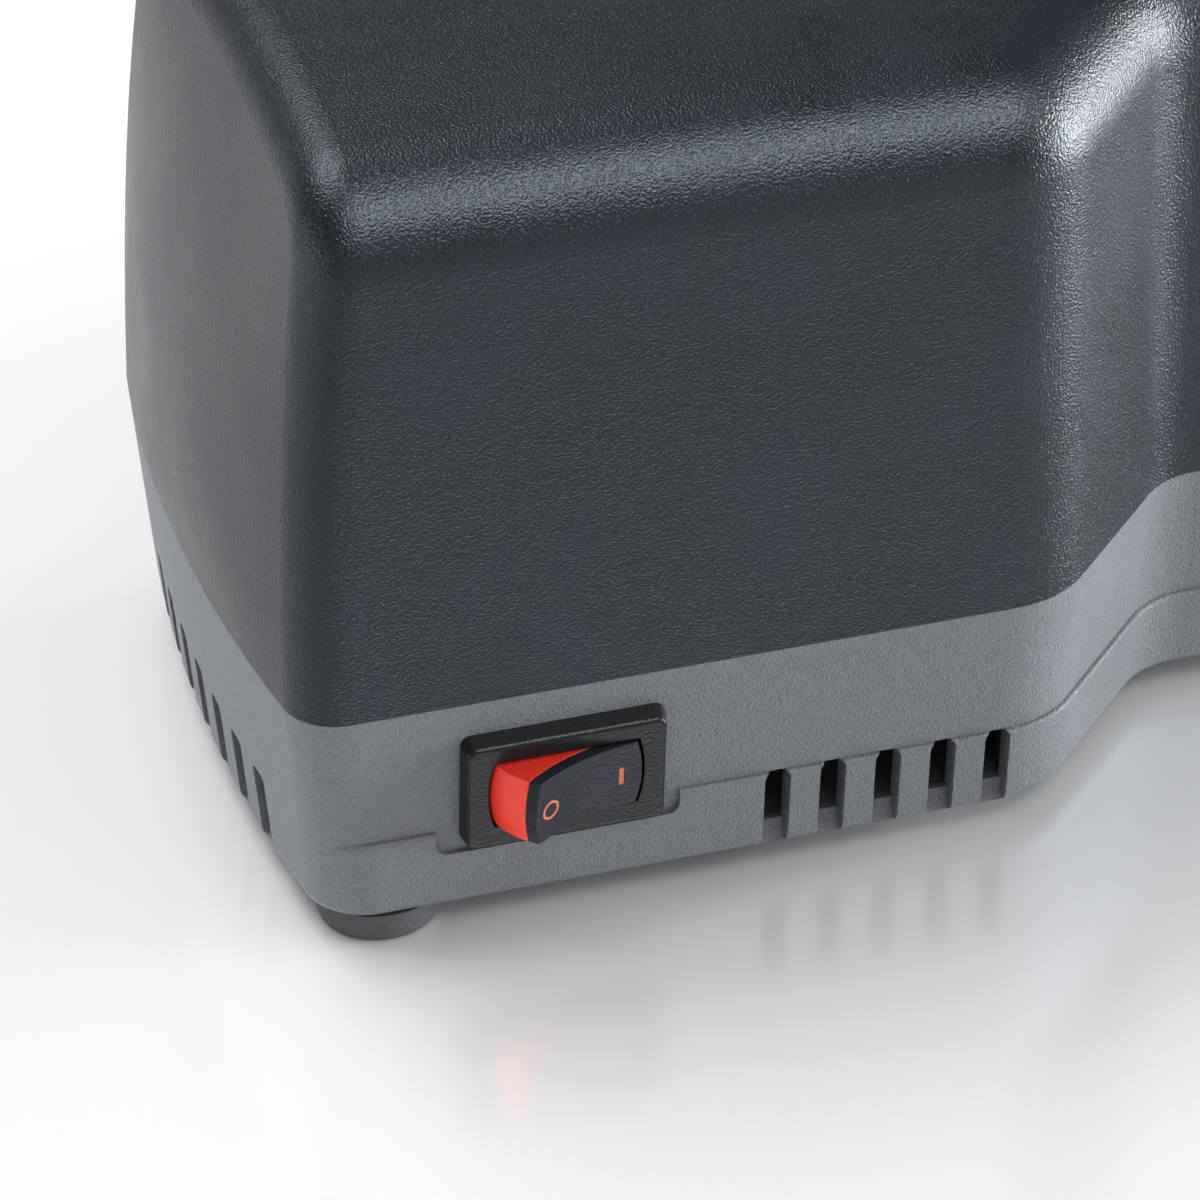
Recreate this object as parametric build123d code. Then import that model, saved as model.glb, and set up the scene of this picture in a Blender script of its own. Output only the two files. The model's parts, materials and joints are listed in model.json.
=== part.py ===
from build123d import *
import math
import os

# Electric knife sharpener, in millimetres. X runs from the motor end (-X) to the sharpening end (+X),
# Y from front to rear and Z up. The origin is on the table, under the middle of the housing.

# Housing
LENGTH = 257.5
DEPTH = 104.0
FOOT_PROUD = 4.5          # how far the rubber feet stand below the base
BASE_HEIGHT = 35.0
COVER_HEIGHT = 78.0       # seam to the top edge at the front
CROWN = 4.0               # extra rise of the top at mid depth
WALL = 2.5
FLOOR = 2.5
END_BULGE = 4.6           # the motor end wall is bowed outwards by this much along the seam
END_BULGE_MIDDLE = 6.0    # the same, halfway up the cover
END_BULGE_TOP = -1.0      # the same, at the top edge, where the wall is slightly hollow
END_LEAN = 3.0            # the cover's motor end wall leans in
END_SWELL = 5.35          # furthest that the wall stands out past its corners
BLOCK_LENGTH = 109.5      # full-depth stretch, from the motor end corner to the set-back
SETBACK = 25.7            # how far the sharpening section stands back from the front and rear
SETBACK_ANGLE = 45.0
COVER_DRAFT = 2.5
BASE_TAPER = 4.4
BASE_END_TAPER = 5.5      # at the motor end
INNER_TURN = 12.0         # plan radius of the hollow turn into the sharpening section
OUTER_TURN = 17.0         # plan radius of the rounded turn out of the motor block
END_ROUND = 8.0           # corners and top edges of both ends
TOP_ROUND = 15.0          # front and rear top edges
BOTTOM_ROUND = 2.5
SPARE = 8.0               # working shapes are this much larger than what they trim

# Base skirt, seam lip and vents
SKIRT_PROUD = 0.8
SKIRT_DROP = 21.5         # seam down to the skirt's ledge
SKIRT_EDGE = 0.6          # rounded upper edge of the skirt
SKIRT_BURIED = 0.4        # the skirt sinks into the wall at the motor end
LIP_HEIGHT = 3.0
LIP_WALL = 1.5
LIP_GAP = 0.3
VENT_DROP = 21.4          # seam down to the top of the vents
VENT_HEIGHT = 10.2        # straight part of a vent, above its scooped sill
VENT_WIDTH = 3.8
VENT_CORNER = 1.2
VENT_SCOOP = 5.0
VENT_SCOOP_OUT = 2.4      # the scoop's axis lies this far outside the wall
VENT_DEPTH = 5.0          # reach of a vent behind the outer face
FRONT_VENTS = 5
FRONT_VENT_PITCH = 8.22
FRONT_VENT_START = 68.4   # motor end corner to the first front vent's middle
SIDE_VENTS = 7
SIDE_VENT_PITCH = 9.6
SIDE_VENT_WIDTH = 4.4

# Feet
FOOT_RADIUS = 8.75
FOOT_STEM_RADIUS = 3.0
FOOT_HEAD_RADIUS = 4.2
FOOT_HEAD_HEIGHT = 2.0
FOOT_CLEAR = 0.1
FOOT_EDGE = 1.2
LEFT_FOOT_INSET = 12.7    # motor end corner to the foot's middle, along X
LEFT_FOOT_SIDE = 11.2     # front face to the foot's middle
RIGHT_FOOT_INSET = 20.0
RIGHT_FOOT_SIDE = 11.8

# Case screws and their bosses
BOSS_RADIUS = 4.2
BOSS_HEIGHT = 15.0
POST_RADIUS = 5.0
POST_INSET = 8.6          # outer face to the middle of a post
WEB_THICK = 2.5           # web that ties a boss to the cover's wall
SCREW_RADIUS = 1.75
SCREW_CLEAR = 0.15
THREAD_CLEAR = 0.03
SCREW_HEAD_RADIUS = 3.2
SCREW_HEAD_HEIGHT = 2.4
SCREW_SEAT = 16.0         # height of the screw seats above the base's underside
SCREW_BITE = 11.0         # thread length in the cover
BLOCK_POST_START = 59.4   # motor end corner to the first pair of posts
BLOCK_POST_GAP = 51.0
DECK_POST_START = 18.2    # concave corner to the first pair in the sharpening section
DECK_POST_END = 38.0      # right end to the second pair
POST_DRAW_IN = 2.6        # second pair of the motor block stands this much further in

# Guide module with its knife slots
MODULE_START = 6.2        # concave corner to the module
MODULE_FOOT = 50.5        # seam to the module's seat on the cover
MODULE_TOP = 75.5         # seam to the module's flat top
MODULE_GAP = 0.2
MODULE_EDGE = 5.0
TONGUE_SHORT = 8.0        # the tongues stop short of the module's ends
FIRST_STAGE = 24.2        # concave corner to the middle of the first stage
STAGE_PITCH = 34.0        # the deck takes as many stages as fit at this pitch
KNIFE_ANGLE = 20.0
SLOT_WIDTH = 3.4
SLOT_FLOOR = 56.0         # seam to the bottom of a knife slot
SLOT_FLARE = 1.2
MAGNET_LENGTH = 30.0
MAGNET_HEIGHT = 7.0
MAGNET_THICK = 2.5
MAGNET_RISE = 66.5        # seam to the middle of a guide magnet

# Shaft and discs
SHAFT_RADIUS = 4.0
SHAFT_RISE = 38.5         # seam to the shaft's axis
RUN_CLEAR = 0.05
FIT_CLEAR = 0.03
DISC_RADIUS = 22.0
DISC_HUB_RADIUS = 8.0
DISC_WALL = 2.0
DISC_CONE = 3.0           # how far the cone rises from rim to hub
DISC_RIM = 4.5            # stage middle to the rim's outer edge
DISC_HUB_END = 9.0        # stage middle to the hub's outer end
DISC_TRAVEL = 1.8
DISC_ROOM = 1.5           # space round and beside the discs in the module
CONTACT_RADIUS = 20.0     # where the blade meets the disc
PIN_RADIUS = 1.25
PIN_REACH = 7.5
PIN_CLEAR = 0.1
SPRING_WIRE = 0.6
SPRING_RADIUS = 6.0
SPRING_COILS = 3
SPRING_SEAT = 0.3

# Motor
MOTOR_PLACE = 63.4        # motor end corner to the middle of the lamination stack
STACK = 30.0
STATOR_HALF = 35.0
STATOR_TOP = 24.0         # above the shaft's axis
STATOR_BASE = 16.0        # above the base's underside
POLE_DEPTH = 22.0         # below the shaft's axis
LEG = 14.0
BORE_RADIUS = 16.0
AIR_GAP = 0.5
SHADE_ANGLE = 40.0
SHADE_WIDTH = 2.0
SHADE_DEEP = 5.0
SHADE_SPAN = 8.5
SHADE_CLEAR = 0.1
SHADE_SKIN = 1.5          # steel left between the bore and a shading ring
BOBBIN_CLEAR = 0.3
BOBBIN_WALL = 1.2
BOBBIN_FLANGE = 1.5
COIL_BUILD = 6.5
COIL_MARGIN = 1.0
COIL_ROUND = 5.2
BRACKET_REACH = 10.0
BRACKET_THICK = 4.0
BRACKET_HALF = 33.0
BRACKET_HEIGHT = 18.0
BRACKET_LEG = 9.0
HUB_RADIUS = 11.0
HUB_PROUD = 2.0
BUSH_RADIUS = 7.0
BUSH_FLANGE = 9.0
BUSH_LENGTH = 10.0
BOLT_RADIUS = 2.0
BOLT_HEAD = 3.6
BOLT_HEAD_HEIGHT = 3.0
BOLT_OFFSET = 28.5
ROTOR_RING = 3.0
ROTOR_RING_DROP = 1.0
MOUNT_HALF = 5.0
MOUNT_LENGTH = 22.0
FAN_RADIUS = 29.0
FAN_HUB = 8.0
FAN_LENGTH = 11.0
FAN_BLADES = 8
FAN_BLADE_THICK = 1.6
FAN_PITCH_ANGLE = 35.0
WASHER_RADIUS = 6.5
WASHER_LENGTH = 3.2
SIDE_PLAY = 0.4
COLLAR_RADIUS = 7.0
COLLAR_LENGTH = 6.0
COLLAR_SCREW = 1.5

# End bearing
BLOCK_THICK = 7.2
BLOCK_HALF = 16.0
BLOCK_TOP = 10.0          # above the shaft's axis
BLOCK_ROUND = 5.0
BLOCK_FOOT = 9.5
BLOCK_FOOT_HEIGHT = 4.5
BLOCK_END = 13.0          # right end of the housing to the block's inner face
BLOCK_GAP = 1.5           # least room between the last hub and the block
BLOCK_CHAMFER = 1.5       # clears the rounded inner corner of the base
BUSH_RIM = 1.5
BLOCK_SCREW_RADIUS = 1.5
BLOCK_SCREW_HEAD = 2.8
BLOCK_SCREW_HEAD_HEIGHT = 2.0
BLOCK_SCREW_OFFSET = 8.0
BLOCK_SCREW_LENGTH = 12.0

# Dust shield
SHIELD_PLACE = 0.7        # concave corner to the shield
SHIELD_THICK = 2.0
SHIELD_SIDE = 3.2         # room beside the shield
SHIELD_RISE = 70.0
SHIELD_CORNER = 8.0
SHIELD_HOLE = 6.0
RIB_HEIGHT = 6.0
RIB_THICK = 1.3
RIB_CLEAR = 0.2

# Switch
SWITCH_PLACE = 36.7       # motor end corner to the switch's middle
SWITCH_DROP = 14.65       # seam to the switch's middle
BEZEL_WIDTH = 29.4
BEZEL_HEIGHT = 18.5
BEZEL_PROUD = 2.6
BEZEL_CORNER = 1.6
BEZEL_SLOPE = 1.0         # the bezel's upper side leans back by this much
BEZEL_EDGE = 0.7
SWITCH_BODY_WIDTH = 26.8
SWITCH_BODY_HEIGHT = 15.8
SWITCH_BODY_DEPTH = 15.0
CUTOUT_CLEAR = 0.2
NOTCH_LEFT = 18.2         # the skirt is cut away this far to the left of the switch's middle
NOTCH_RIGHT = 17.2
NOTCH_ROOM = 1.4          # below the bezel
NOTCH_CORNER = 1.7
PIVOT_DEEP = 0.9          # rocker pivot, behind the base's face
ROCKER_RADIUS = 11.4
ROCKER_WIDTH = 10.54
ROCKER_BARREL = 0.8
ROCKER_CLEAR = 0.35
ROCKER_TIP_ANGLE = 51.9
ROCKER_TILT = 18.75
ROCKER_HOLLOW = 1.2
ROCKER_SKIRT = 3.0        # how far the red body reaches behind the pivot
CAP_EDGE_ANGLE = 8.0
CAP_THICK = 1.8
CAP_GAP = 0.05
PIVOT_PIN = 1.5
PIVOT_PIN_LENGTH = 1.8
TERMINAL_WIDTH = 4.8
TERMINAL_THICK = 0.8
TERMINAL_LENGTH = 8.0
TERMINAL_PITCH = 8.0

# Cord gland
GLAND_PLACE = 28.4
GLAND_DROP = 17.5
GLAND_PROUD = 8.53
GLAND_RIM = 2.0
GLAND_RIM_RADIUS = 8.5
GLAND_EDGE = 1.0
GLAND_NOSE_RADIUS = 6.5
GLAND_BODY_RADIUS = 6.0
GLAND_BORE = 3.75
GLAND_TAIL = 8.0
GLAND_NUT = 4.0
GLAND_CLEAR = 0.15

# Clean-out door under the discs
DOOR_START = 28.2         # concave corner to the opening
DOOR_END = 36.0           # right end to the opening
DOOR_WIDTH = 22.0
DOOR_CLEAR = 0.3
DOOR_PIN = 0.9
DOOR_PIN_LENGTH = 1.5
DOOR_FINGER = 6.0
DOOR_FINGER_DEEP = 1.0
DUST_MAGNET_MARGIN = 11.0 # opening's ends to the magnet
DUST_MAGNET_WIDTH = 12.0
DUST_MAGNET_HEIGHT = 5.0

# Places that follow from the sizes above
BASE_Z = FOOT_PROUD
FLOOR_Z = BASE_Z + FLOOR
SEAM_Z = BASE_Z + BASE_HEIGHT
RIM_Z = SEAM_Z + COVER_HEIGHT
TOP_Z = RIM_Z + CROWN
SHAFT_Z = SEAM_Z + SHAFT_RISE
MODULE_Z = SEAM_Z + MODULE_FOOT
MODULE_TOP_Z = SEAM_Z + MODULE_TOP
SLOT_Z = SEAM_Z + SLOT_FLOOR
HALF = DEPTH / 2
DECK_HALF = HALF - SETBACK
CORNER_X = -LENGTH / 2 + END_SWELL
RIGHT_X = LENGTH / 2
TURN_OUT_X = CORNER_X + BLOCK_LENGTH
TURN_IN_X = TURN_OUT_X + SETBACK / math.tan(math.radians(SETBACK_ANGLE))
MODULE_X = TURN_IN_X + MODULE_START
BLOCK_X = RIGHT_X - BLOCK_END
STAGE_ROOM = BLOCK_X - BLOCK_GAP - DISC_HUB_END - TURN_IN_X - FIRST_STAGE
STAGES = 1 + int(STAGE_ROOM / STAGE_PITCH)
STAGE_X = [TURN_IN_X + FIRST_STAGE + i * STAGE_PITCH for i in range(STAGES)]
DOOR_X = (TURN_IN_X + DOOR_START, RIGHT_X - DOOR_END)
MOTOR_X = CORNER_X + MOTOR_PLACE
STACK_X = (MOTOR_X - STACK / 2, MOTOR_X + STACK / 2)
BRACKET_X = (STACK_X[0] - BRACKET_REACH - BRACKET_THICK, STACK_X[1] + BRACKET_REACH + BRACKET_THICK)
BUSH_X = (BRACKET_X[0] - HUB_PROUD, BRACKET_X[1] + HUB_PROUD)
FAN_X = BUSH_X[0] - WASHER_LENGTH - 2 * SIDE_PLAY
SHAFT_START = FAN_X - FAN_LENGTH
SHAFT_END = BLOCK_X + BLOCK_THICK - RIB_CLEAR
FAR = 3 * LENGTH


def block(x0, x1, y0, y1, z0, z1):
    """A box between two corners."""
    return Pos(x0, y0, z0) * Box(x1 - x0, y1 - y0, z1 - z0, align=(Align.MIN, Align.MIN, Align.MIN))


def rod_x(radius, x0, x1, y=0.0, z=SHAFT_Z):
    """A cylinder along X, on the shaft's axis unless told otherwise."""
    rod = Cylinder(radius, x1 - x0, align=(Align.CENTER, Align.CENTER, Align.MIN))
    return Pos(x0, y, z) * Rot(0, 90, 0) * rod


def rod_z(radius, z0, z1, x, y):
    """An upright cylinder."""
    rod = Cylinder(radius, z1 - z0, align=(Align.CENTER, Align.CENTER, Align.MIN))
    return Pos(x, y, z0) * rod


def outline(inset):
    """The plan of the housing with two slanted set-backs, open beyond the bowed motor end."""
    slant = math.tan(math.radians(SETBACK_ANGLE / 2))
    left = CORNER_X - END_BULGE_MIDDLE - SPARE
    right = RIGHT_X - inset
    wide = HALF - inset
    narrow = DECK_HALF - inset
    turn_out = TURN_OUT_X - inset * slant
    turn_in = TURN_IN_X - inset * slant
    front = [(left, -wide), (turn_out, -wide), (turn_in, -narrow), (right, -narrow)]
    rear = [(x, -y) for x, y in reversed(front)]
    plan = make_face(Polyline(*front, *rear, close=True))
    turns = [v for v in plan.vertices() if abs(v.X - turn_in) < 0.01]
    return fillet(turns, INNER_TURN + inset)


def end_section(z, corner, bulge):
    """Plan of all that lies inside the bowed motor end wall, at one level."""
    reach = HALF + SPARE
    side_x = corner + bulge * (reach * reach / (HALF * HALF) - 1)
    far = RIGHT_X + SPARE
    edges = [
        ThreePointArc((side_x, reach), (corner - bulge, 0), (side_x, -reach)),
        Line((side_x, -reach), (far, -reach)),
        Line((far, -reach), (far, reach)),
        Line((far, reach), (side_x, reach)),
    ]
    return Pos(0, 0, z) * make_face(Wire(edges))


def end_bulge(share):
    """Bow of the motor end wall at a share of the cover's height, through its three named values."""
    low = END_BULGE * (1 - share) * (1 - 2 * share)
    middle = END_BULGE_MIDDLE * 4 * share * (1 - share)
    high = END_BULGE_TOP * share * (2 * share - 1)
    return low + middle + high


def cover_end(inset):
    """All that lies inside the cover's motor end wall."""
    lean = math.tan(math.radians(END_LEAN))
    sections = []
    for step in range(-1, 6):
        share = step / 4
        rise = share * COVER_HEIGHT
        corner = CORNER_X + inset + rise * lean
        sections.append(end_section(SEAM_Z + rise, corner, end_bulge(share)))
    return loft(sections)


def base_end(inset, bottom):
    """All that lies inside the base's motor end wall."""
    low = bottom - SPARE
    corner = CORNER_X + inset
    low_corner = corner + (SEAM_Z - low) * math.tan(math.radians(BASE_END_TAPER))
    return loft([end_section(low, low_corner, END_BULGE), end_section(SEAM_Z, corner, END_BULGE)], ruled=True)


def rounded_outline(inset):
    """The plan along the seam, with every corner rounded."""
    plan = outline(inset) & end_section(0, CORNER_X + inset, END_BULGE)
    slant = math.tan(math.radians(SETBACK_ANGLE / 2))
    turns = [v for v in plan.vertices() if abs(v.X - (TURN_OUT_X - inset * slant)) < 0.01]
    plan = fillet(turns, OUTER_TURN - inset)
    ends = [v for v in plan.vertices() if v.X < CORNER_X + inset + 0.1 or v.X > RIGHT_X - inset - 0.1]
    return fillet(ends, END_ROUND - inset)


def upright_edges(body, x, reach=6.0):
    """Edges that stand nearly upright near a place along X."""
    return [e for e in body.edges() if abs(e.tangent_at(0.5).Z) > 0.9 and abs(e.center().X - x) < reach]


def cover_form(inset):
    """The outer form of the cover, or the form of its hollow when inset by the wall."""
    height = COVER_HEIGHT + CROWN + 5.0
    body = extrude(Pos(0, 0, SEAM_Z) * outline(inset), height, taper=COVER_DRAFT)
    body = body & cover_end(inset)
    body = fillet(upright_edges(body, TURN_OUT_X), OUTER_TURN - inset)
    crown_radius = HALF * HALF / (2 * CROWN)
    crown = Cylinder(crown_radius, FAR)
    body = body & (Pos(0, 0, TOP_Z - inset - crown_radius) * Rot(0, 90, 0) * crown)
    top = body.faces().sort_by(Axis.Z)[-1]
    rims = [e for e in top.edges() if abs(e.tangent_at(0.5).X) > 0.3]
    body = fillet(rims, TOP_ROUND - inset)
    for end in (CORNER_X, RIGHT_X):
        chain = [e for e in body.edges() if abs(e.center().X - end) < SPARE and e.center().Z > SEAM_Z + 1.0]
        body = fillet(chain, END_ROUND - inset)
    return body


def base_form(inset, end_inset, bottom):
    """The outer form of the base, or of its hollow or its skirt, down to a level."""
    body = extrude(Pos(0, 0, SEAM_Z) * outline(inset), SEAM_Z - bottom, dir=(0, 0, -1), taper=BASE_TAPER)
    body = body & base_end(end_inset, bottom)
    body = fillet(upright_edges(body, TURN_OUT_X), OUTER_TURN - inset)
    for end in (CORNER_X, RIGHT_X):
        body = fillet(upright_edges(body, end), END_ROUND - inset)
    under = body.faces().sort_by(Axis.Z)[0]
    return fillet(under.edges(), BOTTOM_ROUND)


def band(outer, inner, z0, z1):
    """A ring that follows the plan between two insets."""
    ring = rounded_outline(outer) - rounded_outline(inner)
    return extrude(Pos(0, 0, z0) * ring, z1 - z0)


def post_places():
    """Middles of the case screws."""
    wide = HALF - POST_INSET
    narrow = DECK_HALF - POST_INSET
    block_x = CORNER_X + BLOCK_POST_START
    places = []
    for side in (-1, 1):
        places.append((block_x, side * wide))
        places.append((block_x + BLOCK_POST_GAP, side * (wide - POST_DRAW_IN)))
        places.append((TURN_IN_X + DECK_POST_START, side * narrow))
        places.append((RIGHT_X - DECK_POST_END, side * narrow))
    return places


def foot_places():
    """Middles of the four feet, by name."""
    left = CORNER_X + LEFT_FOOT_INSET
    right = RIGHT_X - RIGHT_FOOT_INSET
    wide = HALF - LEFT_FOOT_SIDE
    narrow = DECK_HALF - RIGHT_FOOT_SIDE
    return {
        "foot_front_left": (left, -wide),
        "foot_rear_left": (left, wide),
        "foot_front_right": (right, -narrow),
        "foot_rear_right": (right, narrow),
    }


def mount_places():
    """Middles of the two screws that hold the lamination stack."""
    return [(MOTOR_X, -(STATOR_HALF - LEG / 2)), (MOTOR_X, STATOR_HALF - LEG / 2)]


def block_screw_places():
    """Middles of the two screws that hold the end bearing block."""
    x = BLOCK_X + BLOCK_THICK / 2
    return [(x, -BLOCK_SCREW_OFFSET), (x, BLOCK_SCREW_OFFSET)]


def wall_plane(x, drop, side):
    """A plane on the tapering base wall, its Z axis pointing out of the wall and its Y axis up."""
    lean = math.radians(BASE_TAPER)
    y = side * (HALF - drop * math.tan(lean))
    out = (0, side * math.cos(lean), -math.sin(lean))
    return Plane(origin=(x, y, SEAM_Z - drop), x_dir=(-side, 0, 0), z_dir=out)


def switch_plane():
    """Where the switch sits on the front wall."""
    return wall_plane(CORNER_X + SWITCH_PLACE, SWITCH_DROP, -1)


def gland_plane():
    """Where the cord gland sits on the rear wall."""
    return wall_plane(CORNER_X + GLAND_PLACE, GLAND_DROP, 1)


def top_cover():
    """Black moulded cover: motor housing, walls of the sharpening section and the right end."""
    skin = cover_form(0)
    cover = skin - cover_form(WALL)
    inner_end = block(MODULE_X - WALL, MODULE_X, -HALF, HALF, MODULE_Z, FAR)
    cover += skin & inner_end
    cover -= block(MODULE_X, FAR, -HALF, HALF, MODULE_Z, FAR)
    half = WEB_THICK / 2
    low = SEAM_Z + LIP_HEIGHT + LIP_GAP
    for x, y in post_places():
        cover += rod_z(BOSS_RADIUS, SEAM_Z, SEAM_Z + BOSS_HEIGHT, x, y)
        web = block(x - half, x + half, min(y, 2 * y), max(y, 2 * y), low, SEAM_Z + BOSS_HEIGHT)
        cover += web & skin
        cover -= rod_z(SCREW_RADIUS + THREAD_CLEAR, SEAM_Z, SEAM_Z + SCREW_BITE + 1.0, x, y)
    return cover


def vent(x, y, turn, width):
    """One cooling slot: straight above, with a sill that scoops down to the open bottom edge."""
    top = SEAM_Z - VENT_DROP
    sill = top - VENT_HEIGHT
    slot = block(-width / 2, width / 2, -VENT_DEPTH, VENT_DEPTH, sill, top)
    slot = fillet(slot.edges().filter_by(Axis.Y).group_by(Axis.Z)[-1], VENT_CORNER)
    scoop = rod_x(VENT_SCOOP, -width / 2, width / 2, -VENT_SCOOP_OUT, sill)
    return Pos(x, y, 0) * Rot(0, 0, turn) * (slot + scoop)


def vents():
    """Cooling slots in the front, rear and motor end."""
    slots = []
    face = HALF - VENT_DROP * math.tan(math.radians(BASE_TAPER))
    for i in range(FRONT_VENTS):
        x = CORNER_X + FRONT_VENT_START + i * FRONT_VENT_PITCH
        slots.append(vent(x, -face, 0, VENT_WIDTH))
        slots.append(vent(x, face, 180, VENT_WIDTH))
    end_face = CORNER_X - END_BULGE + VENT_DROP * math.tan(math.radians(BASE_END_TAPER))
    for i in range(SIDE_VENTS):
        y = (i - (SIDE_VENTS - 1) / 2) * SIDE_VENT_PITCH
        bow = END_BULGE * y * y / (HALF * HALF)
        turn = math.degrees(math.atan(2 * END_BULGE * y / (HALF * HALF)))
        slots.append(vent(end_face + bow, y, -90 - turn, SIDE_VENT_WIDTH))
    return slots


def base_skirt():
    """Proud band round the foot of the base, cut away round the switch and sunk at the motor end."""
    ledge = SEAM_Z - SKIRT_DROP
    skirt = base_form(-SKIRT_PROUD, SKIRT_BURIED, BASE_Z) & block(-FAR, FAR, -FAR, FAR, 0, ledge)
    skirt = fillet(skirt.faces().sort_by(Axis.Z)[-1].edges(), SKIRT_EDGE)
    middle = CORNER_X + SWITCH_PLACE
    low = SEAM_Z - SWITCH_DROP - BEZEL_HEIGHT / 2 - NOTCH_ROOM
    notch = block(middle - NOTCH_LEFT, middle + NOTCH_RIGHT, -FAR, 0, low, SEAM_Z)
    return skirt - fillet(notch.edges().filter_by(Axis.Y).group_by(Axis.Z)[0], NOTCH_CORNER)


def base_tray():
    """Grey moulded base: walls, proud skirt, screw posts, motor pads and openings."""
    outer = base_form(0, 0, BASE_Z)
    base = outer + base_skirt() - base_form(WALL, WALL, FLOOR_Z)
    base += band(WALL - LIP_GAP, WALL + LIP_GAP + LIP_WALL, SEAM_Z - LIP_HEIGHT, SEAM_Z)
    lip = band(WALL + LIP_GAP, WALL + LIP_GAP + LIP_WALL, SEAM_Z, SEAM_Z + LIP_HEIGHT)
    for x, y in post_places():
        lip -= rod_z(BOSS_RADIUS + LIP_GAP, SEAM_Z, SEAM_Z + LIP_HEIGHT, x, y)
        base += rod_z(POST_RADIUS, FLOOR_Z, SEAM_Z, x, y) & outer
    base += lip
    base = add_pads(base)
    base = cut_screw_holes(base)
    return cut_fittings(base - vents())


def add_pads(base):
    """Pads under the lamination stack and ribs that hold the dust shield."""
    pad_top = BASE_Z + STATOR_BASE
    for x, y in mount_places():
        half = MOUNT_LENGTH / 2
        base += block(x - half, x + half, y - MOUNT_HALF, y + MOUNT_HALF, FLOOR_Z, pad_top)
    shield_x = TURN_IN_X + SHIELD_PLACE
    reach = DECK_HALF - WALL - LIP_GAP - LIP_WALL - SHIELD_SIDE
    for x in (shield_x - RIB_CLEAR - RIB_THICK, shield_x + SHIELD_THICK + RIB_CLEAR):
        base += block(x, x + RIB_THICK, -reach, reach, FLOOR_Z, FLOOR_Z + RIB_HEIGHT)
    return base


def cut_screw_holes(base):
    """Stepped holes for the case screws, motor screws, bearing block screws and feet."""
    seat = BASE_Z + SCREW_SEAT
    for x, y in post_places():
        base -= rod_z(SCREW_HEAD_RADIUS + SCREW_CLEAR, 0, seat, x, y)
        base -= rod_z(SCREW_RADIUS + SCREW_CLEAR, seat, SEAM_Z, x, y)
    motor_seat = BASE_Z + STATOR_BASE / 2
    for x, y in mount_places():
        base -= rod_z(SCREW_HEAD_RADIUS + SCREW_CLEAR, 0, motor_seat, x, y)
        base -= rod_z(SCREW_RADIUS + SCREW_CLEAR, motor_seat, BASE_Z + STATOR_BASE, x, y)
    for x, y in block_screw_places():
        base -= rod_z(BLOCK_SCREW_RADIUS + SCREW_CLEAR, 0, FLOOR_Z, x, y)
    for x, y in foot_places().values():
        base -= rod_z(FOOT_STEM_RADIUS + FOOT_CLEAR, 0, FLOOR_Z, x, y)
    return base


def cut_fittings(base):
    """Openings for the switch, the cord gland and the clean-out door."""
    wide = SWITCH_BODY_WIDTH + 2 * CUTOUT_CLEAR
    high = SWITCH_BODY_HEIGHT + 2 * CUTOUT_CLEAR
    base -= switch_plane().location * Box(wide, high, 4 * WALL)
    base -= gland_plane().location * Cylinder(GLAND_BODY_RADIUS + GLAND_CLEAR, 4 * WALL)
    seat = Cylinder(GLAND_RIM_RADIUS + LIP_GAP, 4 * SKIRT_PROUD, align=(Align.CENTER, Align.CENTER, Align.MIN))
    base -= gland_plane().location * seat
    half = DOOR_WIDTH / 2
    base -= block(*DOOR_X, -half, half, 0, FLOOR_Z)
    pin_x = door_pin_x()
    reach = half + DOOR_PIN_LENGTH
    socket = Cylinder(DOOR_PIN + RUN_CLEAR, 2 * reach)
    return base - Pos(pin_x, 0, BASE_Z + FLOOR / 2) * Rot(90, 0, 0) * socket


def door_pin_x():
    """Middle of the door's hinge pins along X."""
    return DOOR_X[0] + DOOR_CLEAR + FLOOR / 2


def clean_out_door():
    """Hinged plate under the discs, with two moulded pins and a finger recess."""
    pin_x = door_pin_x()
    mid_z = BASE_Z + FLOOR / 2
    half = DOOR_WIDTH / 2 - DOOR_CLEAR
    end_x = DOOR_X[1] - DOOR_CLEAR
    door = block(pin_x, end_x, -half, half, BASE_Z, FLOOR_Z)
    door += Pos(pin_x, 0, mid_z) * Rot(90, 0, 0) * Cylinder(FLOOR / 2, 2 * half)
    reach = half + DOOR_PIN_LENGTH
    door += Pos(pin_x, 0, mid_z) * Rot(90, 0, 0) * Cylinder(DOOR_PIN, 2 * reach)
    finger = Pos(end_x, 0, BASE_Z) * Cylinder(DOOR_FINGER, 2 * DOOR_FINGER_DEEP)
    return door - finger


def filings_magnet():
    """Bar magnet on the inside of the clean-out door."""
    x0 = DOOR_X[0] + DUST_MAGNET_MARGIN
    x1 = DOOR_X[1] - DUST_MAGNET_MARGIN
    side = DUST_MAGNET_WIDTH / 2
    return block(x0, x1, -side, side, FLOOR_Z, FLOOR_Z + DUST_MAGNET_HEIGHT)


def foot(x, y):
    """Rubber foot with a stem and a head that holds it in the floor."""
    pad = rod_z(FOOT_RADIUS, 0, FOOT_PROUD, x, y)
    pad = fillet(pad.edges().sort_by(Axis.Z)[0], FOOT_EDGE)
    stem = rod_z(FOOT_STEM_RADIUS, FOOT_PROUD, FLOOR_Z, x, y)
    head = rod_z(FOOT_HEAD_RADIUS, FLOOR_Z, FLOOR_Z + FOOT_HEAD_HEIGHT, x, y)
    return pad + stem + head


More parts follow.
